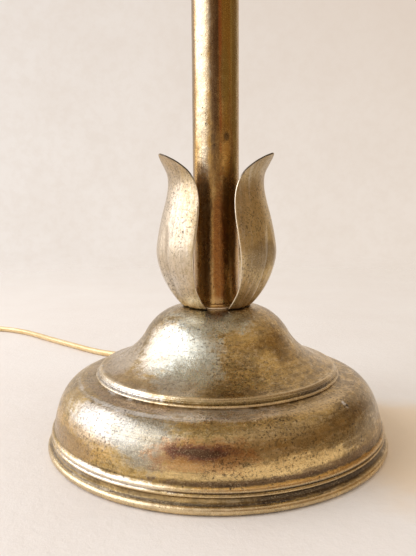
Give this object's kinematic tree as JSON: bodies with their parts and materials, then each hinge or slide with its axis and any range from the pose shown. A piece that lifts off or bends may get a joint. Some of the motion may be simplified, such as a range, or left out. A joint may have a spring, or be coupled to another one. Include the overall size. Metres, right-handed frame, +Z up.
{
  "type": "table lamp",
  "caption": "Brass table lamp: spun stepped foot, leaf crown round a plain tube, keyed lampholder, harp, parchment shade and gold cord with plug.",
  "frame": {"origin": "on the lamp's axis at the surface that it stands on", "axes": "+Z up along the stem; -Y towards the viewer, opposite the cord's exit; +X to the right"},
  "size_m": [0.4734, 0.4429, 0.5789],
  "materials": {
    "foot_brass": "aged, mottled",
    "leaf_brass": "aged, pale",
    "stem_brass": "aged, satin",
    "fitting_brass": "aged, satin",
    "inner_brass": "satin",
    "blade_brass": "satin",
    "cap_metal": "satin",
    "cast_iron": "rough",
    "steel": "satin",
    "ring_wire": "satin",
    "fibre": "matte",
    "felt": "matte",
    "moulding": "matte",
    "parchment": "matte",
    "trim": "matte",
    "bulb_glass": "frosted",
    "cord_sheath": "satin",
    "relief": "satin",
    "tie_paper": "matte"
  },
  "bodies": {
    "lamp": {"foot_shell": "foot_brass", "foot_weight": "cast_iron", "base_plate": "fibre", "felt_pad": "felt", "threaded_pipe": "inner_brass", "base_washer": "steel", "base_nut": "steel", "leaf_crown": "leaf_brass", "seat_ring": "stem_brass", "stem_tube": "stem_brass", "tube_cap": "stem_brass", "harp_saddle": "fitting_brass", "socket_cap": "fitting_brass", "cap_screw": "steel", "socket_shell": "fitting_brass", "insulating_sleeve": "fibre", "socket_body": "moulding", "screw_shell": "inner_brass", "centre_contact": "inner_brass", "terminal_screws": "steel", "lead_wires": "cord_sheath", "harp": "fitting_brass", "harp_stud": "fitting_brass", "inner_lead": "cord_sheath", "strain_relief": "relief", "cord_lead": "cord_sheath", "cord_coil": "cord_sheath", "cord_tail": "cord_sheath", "cord_tie": "tie_paper", "plug_body": "relief", "plug_blades": "blade_brass"},
    "key": {"key_shaft": "inner_brass", "switch_key": "fitting_brass"},
    "sleeve_left": {"sleeve_left": "fitting_brass"},
    "sleeve_right": {"sleeve_right": "fitting_brass"},
    "shade": {"shade_spider": "fitting_brass", "shade_top_ring": "ring_wire", "shade_bottom_ring": "ring_wire", "shade_cover": "parchment", "shade_trim_top": "trim", "shade_trim_bottom": "trim"},
    "finial": {"finial": "fitting_brass"},
    "bulb": {"bulb_glass": "bulb_glass", "bulb_cap": "cap_metal", "bulb_insulator": "moulding", "bulb_contact": "steel"}
  },
  "joints": [
    {"name": "key_turn", "type": "hinge", "parent": "lamp", "child": "key", "pos_m": [0, -0.02, 0.366], "axis": [0, -1, 0], "continuous": true},
    {"name": "sleeve_left_lift", "type": "slide", "parent": "lamp", "child": "sleeve_left", "axis": [0, 0, 1], "range_m": [0, 0.012]},
    {"name": "sleeve_right_lift", "type": "slide", "parent": "lamp", "child": "sleeve_right", "axis": [0, 0, 1], "range_m": [0, 0.012]},
    {"name": "shade_turn", "type": "hinge", "parent": "lamp", "child": "shade", "pos_m": [0, 0, 0.545], "axis": [0, 0, 1], "continuous": true},
    {"name": "finial_turn", "type": "hinge", "parent": "lamp", "child": "finial", "pos_m": [0, 0, 0.555], "axis": [0, 0, 1], "continuous": true},
    {"name": "bulb_turn", "type": "hinge", "parent": "lamp", "child": "bulb", "pos_m": [0, 0, 0.392], "axis": [0, 0, 1], "continuous": true}
  ]
}
